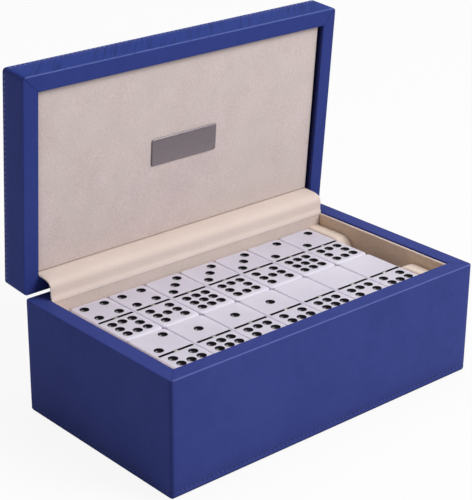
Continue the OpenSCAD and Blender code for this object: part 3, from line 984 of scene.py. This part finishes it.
dress(BACK_SUEDE, "back_lining")
dress(FELT, "base_felt")
dress(WOOD, *[n for n in frame["nodes"] if n.endswith(("_wall", "_rail"))], "base_bottom", "lid_top")
dress(BRASS, *[n for n in frame["nodes"] if n.endswith("_leaf")])
dress(DULL_BRASS, *[n for n in frame["nodes"] if "spinner" in n])
dress(STEEL, "hinge_pins", "base_hinge_screws", "lid_hinge_screws")

# %% [markdown]
# ## End blocks
# Each end of the stacks is held by a block of foam in suede, with a thumb notch to lift the
# dominoes out. Its outline is drawn flat: eight corners, of which the two shoulders and the two
# corners at the notch's foot are rounded by a vertex bevel. The outline is then pulled out to
# the block's width and its rims are bevelled, which gives the stuffed look.

# %% End blocks
NOTCH_HALF = 20.5 * MM
NOTCH_DEPTH = 34 * MM
SHOULDER_R = 10 * MM
BLOCK_EDGE_R = 1.6 * MM


def block_outline(low, high):
    """The flat outline of a block, in the plane of its left face, as a bmesh."""
    foot = high.z - NOTCH_DEPTH
    rows = [
        (low.y, low.z), (high.y, low.z), (high.y, high.z), (NOTCH_HALF, high.z),
        (NOTCH_HALF, foot), (-NOTCH_HALF, foot), (-NOTCH_HALF, high.z), (low.y, high.z),
    ]
    bm = bmesh.new()
    bm.faces.new([bm.verts.new((low.x, y, z)) for y, z in rows])
    for height, radius, steps in ((foot, NOTCH_HALF - 0.01 * MM, 12), (high.z, SHOULDER_R, 10)):
        corners = [v for v in bm.verts if abs(abs(v.co.y) - NOTCH_HALF) < 10 * TINY]
        corners = [v for v in corners if abs(v.co.z - height) < 10 * TINY]
        round_off(bm, corners, radius, steps, "VERTICES")
    return bm


def end_block(node):
    low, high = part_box(node)
    name = node.replace("end_block", "stuffed_block")
    bm = block_outline(low, high)
    pulled = bmesh.ops.extrude_face_region(bm, geom=bm.faces[:])
    moved = new_parts(pulled, BMVert)
    bmesh.ops.translate(bm, verts=moved, vec=(high.x - low.x, 0, 0))
    bmesh.ops.recalc_face_normals(bm, faces=bm.faces)
    rims = [e for e in bm.edges if span(e, 0) < TINY]
    rims = [e for e in rims if min(v.co.z for v in e.verts) > low.z + 10 * TINY]
    round_off(bm, rims, BLOCK_EDGE_R, 5)
    mask(bm, "fold", lambda co: 0)
    piece = make_piece(name, bm, [BLOCK_SUEDE], "base", [node], 1.2)


end_block("left_end_block")
end_block("right_end_block")

# %% [markdown]
# ## The padded panel in the lid
# A card with a thin layer of foam, wrapped in suede and glued into the lid. Its edges are
# pulled down by the wrapping, so the face is crowned: it reaches its full height only in the
# middle part, and it stays flat in the bed of the plate. It is shaped in the shut position and
# swung open with the lid.

# %% Padded panel
PAD_EDGE_R = 1.0 * MM
PAD_STEP = 3.5 * MM
CROWN = 0.2 * MM
PAD_SINK, PAD_WAVE = 0.08 * MM, 0.12 * MM
BED_X, BED_Y = 34 * MM, 16 * MM


def pad_crown(co):
    """How far the face is drawn in at a point, from 0 in the middle to 1 at the edge."""
    along = abs(co.x) / pad_high.x
    across = abs(co.y) / pad_high.y
    return max(along ** 10, across ** 6)


def lid_pad():
    bm = bmesh.new()
    sliced_box(bm, pad_low, pad_high, PAD_EDGE_R, PAD_STEP)
    mask(bm, "fold", lambda co: 0)
    for vert in bm.verts:
        front = (pad_high.z - vert.co.z) / (pad_high.z - pad_low.z)
        wave = noise.noise(Vector((vert.co.x * 22, vert.co.y * 22, 3.1))) * PAD_WAVE
        bed = min(1, 3 * near(vert.co.x, 0, BED_X) * near(vert.co.y, 0, BED_Y))
        drawn_in = CROWN * pad_crown(vert.co) + (PAD_SINK + wave) * (1 - bed)
        vert.co.z += max(0, drawn_in) * front
    bmesh.ops.transform(bm, matrix=SWING_OPEN, verts=bm.verts)
    piece = make_piece("lid_panel", bm, [PAD_SUEDE], "lid", ["lid_pad"], 1.2)


lid_pad()

# %% [markdown]
# ## The blank plate
# A thin plate of brushed steel, glued to the middle of the panel. It carries nothing. Its
# outline is a rounded loop, pulled up to its thickness, with a fine bevel that catches the
# light and a hair's depth taken out of the face inside its border. A darker band round its edge
# is painted shade.

# %% Blank plate
PLATE_CORNER_R = 1.2 * MM
PLATE_BEVEL = 0.35 * MM
PLATE_BORDER = 0.9 * MM
FACE_INSET, FACE_DEPTH = 1.1 * MM, 0.05 * MM
DARK_EDGE = 0.8 * MM


def blank_plate():
    low, high = shut_box("blank_plate")
    length, depth = high.x - low.x, high.y - low.y
    outline = [(0, high.z), (0, low.z + PLATE_BEVEL), (PLATE_BEVEL, low.z)]
    outline += [(PLATE_BORDER, low.z), (FACE_INSET, low.z + FACE_DEPTH)]
    bm = bmesh.new()
    loft(bm, outline, length, depth, PLATE_CORNER_R, closed=False)
    # A darker band round the edge: painted shade.
    mask(bm, "fold", lambda co: near(max(abs(co.x) - length / 2, abs(co.y) - depth / 2), 0, DARK_EDGE))
    bmesh.ops.transform(bm, matrix=SWING_OPEN, verts=bm.verts)
    make_piece("bare_plate", bm, [PLATE], "lid", ["blank_plate"], 0.3)


blank_plate()

# %% [markdown]
# ## The strip over the hinges
# A strip of suede hides the hinges. It is glued to the inside of the lid's back wall and to
# the back lining, and hangs free between them so that it can fold in when the lid shuts. It is
# one flat piece of cloth: a row of points along its path is pulled out to its width. Its lower
# end is folded back into a narrow hem, which shows as a ridge with a painted highlight.

# %% Strip path
strip_low, strip_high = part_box("hinge_strip")
STRIP_T = 0.8 * MM
STRIP_STEPS = 26
GLUE_PLAY = 0.1 * MM
LID_PULL = 14 * MM
LID_LIFT = 1.2 * MM
BASE_PULL = 6 * MM
BASE_LEAN = 1.7 * MM
TUCKED = 1.4 * MM
STRIP_DROP = RIM_Z - strip_low.z
STRIP_WAVE = 0.2 * MM
FREE_RISE = 6 * MM
HEM_W, HEM_T = 3.4 * MM, 0.25 * MM
HEM_RISE, HEM_ROUND = 0.9 * MM, 0.3 * MM
HEM_MIDDLE, HEM_REACH = strip_low.z + 0.8 * MM, 2.6 * MM
glue_y = BOX_D / 2 - WALL - GLUE_PLAY


def swung(y, z):
    """A point of the shut lid, in Y and Z, after the lid is opened."""
    return (SWING_OPEN @ Vector((0, y, z))).yz


def bezier(points, t):
    u = 1 - t
    return (
        points[0] * u ** 3 + points[1] * 3 * u * u * t
        + points[2] * 3 * u * t * t + points[3] * t ** 3
    )


def strip_path():
    """The side of the strip that is glued, from behind the panel to its lower end."""
    lid_end = swung(glue_y, pad_low.z + TUCKED)
    lid_edge = swung(glue_y, lid_low.z + GLUE_PLAY)
    out = (lid_edge - lid_end).normalized()
    rim = Vector((strip_low.y + STRIP_T, RIM_Z))
    curve = [lid_edge, lid_edge + out * LID_PULL + Vector((0, LID_LIFT))]
    curve += [rim + Vector((BASE_LEAN, BASE_PULL)), rim]
    path = [lid_end, (lid_end + lid_edge) / 2]
    path += [bezier(curve, i / STRIP_STEPS) for i in range(STRIP_STEPS + 1)]
    path += [rim - Vector((0, STRIP_DROP * s)) for s in (0.5, 0.9, 1)]
    return path


def hem_share(along):
    """How thick the hem is at a distance from the strip's lower end: it rises, then rounds off."""
    if along > HEM_W:
        return 0
    return min(1, (HEM_W - along) / HEM_RISE) * min(1, 0.35 + along / HEM_ROUND)


# %% Hinge strip
def strip_section(path):
    """The length, and for each point its two sides and the way that it can wave."""
    total = sum((b - a).length for a, b in zip(path, path[1:]))
    along = total
    section = []
    for i, point in enumerate(path):
        if i > 0:
            along -= (point - path[i - 1]).length
        ahead = path[min(i + 1, len(path) - 1)] - path[max(i - 1, 0)]
        normal = Vector((ahead.y, -ahead.x)).normalized()
        if normal.x > 0:
            normal = -normal
        free = max(0, min(1, min(along, total - along) / FREE_RISE - 0.8))
        front = point + normal * (STRIP_T + HEM_T * hem_share(along))
        section.append((point, front, normal * free))
    return section, total


def strip_mesh(section, half):
    """The strip pulled out to its width, with a slow wave where it hangs free."""
    bm = bmesh.new()
    lean = bm.verts.layers.float_vector.new("lean")
    rows = []
    for back, front, away in section:
        pair = [bm.verts.new((-half, *point)) for point in (back, front)]
        for vert in pair:
            vert[lean] = (0, *away)
        rows.append(pair)
    for (a, b), (c, d) in zip(rows, rows[1:]):
        bm.faces.new((a, c, d, b))
    pulled = bmesh.ops.extrude_face_region(bm, geom=bm.faces[:])
    moved = new_parts(pulled, BMVert)
    bmesh.ops.translate(bm, verts=moved, vec=(2 * half, 0, 0))
    across = [e for e in bm.edges if span(e, 0) > half]
    bmesh.ops.subdivide_edges(bm, edges=across, cuts=59, use_grid_fill=True)
    for vert in bm.verts:
        wave = noise.noise(Vector((vert.co.x * 20, vert.co.z * 30, 0.7))) * STRIP_WAVE
        vert.co += vert[lean] * wave
    return bm


def hem_highlight(co):
    """How strongly the hem at the lower end takes a painted highlight. The upper end lies further back."""
    return 0.6 * near(co.z, HEM_MIDDLE, HEM_REACH) * (co.y < AXIS.y - 9 * MM)


def hinge_strip():
    path = strip_path()
    section, length = strip_section(path)
    half = strip_high.x
    bm = strip_mesh(section, half)
    # The hem's pale line is a painted highlight.
    mask(bm, "fold", hem_highlight)
    piece = make_piece("hinge_cloth", bm, [CLOTH], None, ["hinge_strip"], 1.2)
    start = (0, strip_low.y + STRIP_T / 2, RIM_Z)
    end = (0, *((path[1] + path[2]) / 2))
    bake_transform(piece, "base", "lid", start=start, end=end)
    print("strip", round(2 * half, 4), "by", round(length, 4), "m")


hinge_strip()

# %% [markdown]
# ## Dominoes
# A domino is a slab with rounded corners and edges. The pips are bowls that a ball-nosed
# cutter leaves, and the divider is a shallow slot. The slab is a bevelled cube. Its top face
# is taken off, circles and a slot are drawn in its plane, and triangles fill what is left
# between them. Each circle is then pulled down ring by ring into a bowl. The same helper makes
# a domino of the top layer, a piece of its own, and the ones below, which share one piece.

# %% One domino
TILE_L, TILE_W = 50.8 * MM, 25.4 * MM
TILE_CORNER_R = 2.5 * MM
TILE_EDGE = 1.2 * MM
PIP_R = 2.75 * MM
PIP_DEPTH = 0.7 * MM
# A painted highlight on one side of each bowl: the side that it faces and how tightly it gathers.
GLINT_SIDE = Vector((-0.9, 0.44))
GLINT_POWER = 7
PIP_LIP = (0.985, 0.06 * MM, 0)
# Each ring of a bowl: its share of the width and its share of the painted highlight.
BOWL_SHARES = ((0.85, 0), (0.6, 0.25), (0.44, 1), (0.24, 0.15))
PIP_PITCH = 6.7 * MM
HALF_MIDDLE = 12.5 * MM
SLOT_L, SLOT_W, SLOT_DEPTH = 22.9 * MM, 1.9 * MM, 0.4 * MM
RESIN_INDEX, ENAMEL_INDEX = 0, 1


# The least number of a half that has a pip at each place. Odd numbers add the middle one.
LEAST = {
    (-1, -1): 2, (-1, 0): 6, (-1, 1): 4, (0, -1): 8,
    (0, 1): 8, (1, -1): 4, (1, 0): 6, (1, 1): 2,
}


def pip_places(ends):
    places = []
    for side, number in zip((1, -1), ends):
        seats = [seat for seat, least in LEAST.items() if number >= least]
        for column, row in seats + [(0, 0)] * (number % 2):
            places.append((column * PIP_PITCH, side * HALF_MIDDLE + row * PIP_PITCH))
    return places


def sink(bm, loop, rings):
    """Pulls a loop down ring by ring, each (share of the width, depth, painted highlight), and closes it."""
    verts = dict.fromkeys(v for e in loop for v in e.verts)
    middle = sum((v.co for v in verts), Vector()) / len(verts)
    width = 1
    glint_layer = bm.verts.layers.float["painted_glint"]
    painted = []
    for share, depth, painted_glint in rings:
        verts, loop, faces = pull_loop(bm, loop)
        painted += faces
        for vert in verts:
            away = vert.co.xy - middle.xy
            vert.co.xy = middle.xy + away * share / width
            vert.co.z = middle.z - depth
            facing = max(0, away.normalized().dot(GLINT_SIDE))
            vert[glint_layer] = painted_glint * facing ** GLINT_POWER
        width = share
    painted += bmesh.ops.contextual_create(bm, geom=loop)["faces"]
    for face in painted:
        face.material_index = ENAMEL_INDEX


def bowl_rings():
    """The rings of a bowl cut by a ball that leaves the pip's width and depth."""
    ball = (PIP_R ** 2 + PIP_DEPTH ** 2) / (2 * PIP_DEPTH)
    rings = [PIP_LIP]
    for share, painted_glint in BOWL_SHARES:
        depth = PIP_DEPTH - (ball - math.sqrt(ball ** 2 - (share * PIP_R) ** 2))
        rings.append((share, depth, painted_glint))
    return rings


def slab(low_z, high_z):
    """A plain domino: a cube with rounded corners and rims."""
    bm = bmesh.new()
    height = high_z - low_z
    size = Matrix.Diagonal((TILE_W, TILE_L, height, 1))
    place = Matrix.Translation((0, 0, (low_z + high_z) / 2))
    bmesh.ops.create_cube(bm, size=1, matrix=place @ size)
    round_off(bm, [e for e in bm.edges if span(e, 2) > height / 2], TILE_CORNER_R, 5)
    round_off(bm, [e for e in bm.edges if span(e, 2) < TINY], TILE_EDGE, 4)
    # The rounded edges get the resin's painted highlight.
    mask(bm, "fold", lambda co: min(high_z - co.z, co.z - low_z) < 0.97 * TILE_EDGE)
    mask(bm, "painted_glint", lambda co: 0)
    return bm


def draw_loops(bm, ends, height):
    """Draws the pips' circles and the divider. Each loop comes with the rings of its sink."""
    loops = []
    for x, y in pip_places(ends):
        place = Matrix.Translation((x, y, height))
        circle = bmesh.ops.create_circle(bm, segments=18, radius=PIP_R, matrix=place)
        loops.append((edges_of(circle["verts"]), bowl_rings()))
    place = Matrix.Translation((0, 0, height)) @ Matrix.Diagonal((SLOT_L, SLOT_W, 1, 1))
    made = bmesh.ops.create_grid(bm, x_segments=1, y_segments=1, size=0.5, matrix=place)
    slot = edges_of(made["verts"])
    bmesh.ops.delete(bm, geom=slot[0].link_faces[:], context="FACES_ONLY")
    return loops + [(slot, [(1, SLOT_DEPTH, 0)])]


def domino(low_z, high_z, ends):
    """A domino in the middle of the box, between two heights, as a bmesh."""
    bm = slab(low_z, high_z)
    top = max(bm.faces, key=lambda f: f.calc_center_median().z)
    fill_edges = list(top.edges)
    bmesh.ops.delete(bm, geom=[top], context="FACES_ONLY")
    loops = draw_loops(bm, ends, high_z)
    for loop, _ in loops:
        fill_edges += loop
    filled = bmesh.ops.triangle_fill(bm, edges=fill_edges, use_beauty=True)
    for face in new_parts(filled, BMFace):
        face.material_index = RESIN_INDEX
    for loop, rings in loops:
        sink(bm, loop, rings)
    return bm


# %% The top layer
TOP = [(low, high) for low in (4, 3, 2, 1, 0) for high in (9, 8, 7) if low < 4 or high < 9]

for ends in TOP:
    node = f"domino_{ends[0]}_{ends[1]}"
    low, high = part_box(node)
    bm = domino(low.z, high.z, ends)
    bmesh.ops.translate(bm, verts=bm.verts, vec=(*((low + high) / 2).xy, 0))
    make_piece(node.replace("domino", "tile"), bm, [RESIN, ENAMEL], node, [node])
print("top layer:", len(TOP), "dominoes")

# %% [markdown]
# Three more layers lie below. They hold the rest of the set in its usual order, and they move
# with the base as one piece. Their places repeat the pitch of the layer above them.

# %% The stored layers
PAIRS = [(low, high) for high in range(10) for low in range(high + 1)]
STORED = [pair for pair in PAIRS if pair not in TOP] + [(0, 0)]
COLUMNS, PER_LAYER = 7, 14


def middle_of(node):
    low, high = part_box(node)
    return (low + high) / 2


def stored_dominoes():
    first, last = middle_of("domino_4_8"), middle_of("domino_0_7")
    pitch_x = (last.x - first.x) / (COLUMNS - 1)
    stack_low, stack_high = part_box("stored_dominoes")
    top_low, top_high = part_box("domino_4_8")
    thickness = top_high.z - top_low.z
    layer_pitch = (stack_high.z - thickness - stack_low.z) / 2
    one = bpy.data.meshes.new("stored")
    stored = bmesh.new()
    for i, ends in enumerate(STORED):
        layer, seat = divmod(i, PER_LAYER)
        low_z = stack_low.z + layer * layer_pitch
        bm = domino(low_z, low_z + thickness, ends)
        x = first.x + seat % COLUMNS * pitch_x
        y = first.y if seat < COLUMNS else last.y
        bmesh.ops.translate(bm, verts=bm.verts, vec=(x, y, 0))
        bm.to_mesh(one)
        bm.free()
        stored.from_mesh(one)
    looks = [RESIN, ENAMEL]
    make_piece("stored_tiles", stored, looks, "base", ["stored_dominoes"])


stored_dominoes()

# %% [markdown]
# ## Table, light and air
# The box stands on a plain white table in a bright studio. A large soft lamp hangs in front,
# to the right and above, and the air around gives an even fill. The camera and mirrors see the
# air at its full strength, almost white, and what the object itself receives stays plain.

# %% Table
FLOOR_HALF = 4.0
TABLE_GREYS = ((0.80, 0.80, 0.80, 1), (0.82, 0.82, 0.82, 1))
TABLE_GLOW = 0.9
floor_bm = bmesh.new()
bmesh.ops.create_grid(floor_bm, x_segments=1, y_segments=1, size=FLOOR_HALF)
table_top = add_object("table_top", floor_bm)
table_top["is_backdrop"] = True


def table_finish():
    table = Finish("table")
    shade = table.mix(table.noise(6, 2), *TABLE_GREYS)
    paint = table.node("BsdfDiffuse", None, {"Color": shade})
    glow = table.node("Emission", None, {"Color": (1, 1, 1, 1), "Strength": 1.0})
    share = table.node("LightPath", None, None, "Is Camera Ray") * TABLE_GLOW
    table.end(table.node("MixShader", None, {0: share, 1: paint, 2: glow}))
    return table.material


table_top.data.materials.append(table_finish())

# %% Air
AIR = 0.3
AIR_COLOUR = (1, 0.985, 0.965, 1)
world = bpy.data.worlds.new("air")
scene.world = world
air = Tree(world)
rays = [f"Is {kind} Ray" for kind in ("Camera", "Glossy", "Transmission")]
seen = sum(air.node("LightPath", output=ray) for ray in rays)
level = {"Value": seen, "To Min": AIR, "To Max": 1.0}
strength = air.node("MapRange", None, level)
sky = air.node("Background", None, {"Color": AIR_COLOUR, "Strength": strength})
air.end(sky, "OutputWorld")

# %% Lamps
LAMP_TARGET = Vector((0, 0, 0.08))


def lamp(name, place, width, power):
    """A square lamp that points at the middle of the box."""
    data = bpy.data.lights.new(name, "AREA")
    data.shape = "SQUARE"
    data.size = width
    data.energy = power
    made = bpy.data.objects.new(name, data)
    made.location = place
    made.rotation_euler = (LAMP_TARGET - Vector(place)).to_track_quat("-Z", "Y").to_euler()
    scene.collection.objects.link(made)


lamp("key_lamp", (1.0, -1.5, 1.65), 1.2, 42)
lamp("top_lamp", (0.3, 0.3, 2.2), 1.4, 15)
print("lamps:", len(bpy.data.lights))

# %% Sizes and the end
low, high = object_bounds()
for label, size in (("cad box", cad_high - cad_low), ("dressed", high - low)):
    print(label, [round(v, 4) for v in size])
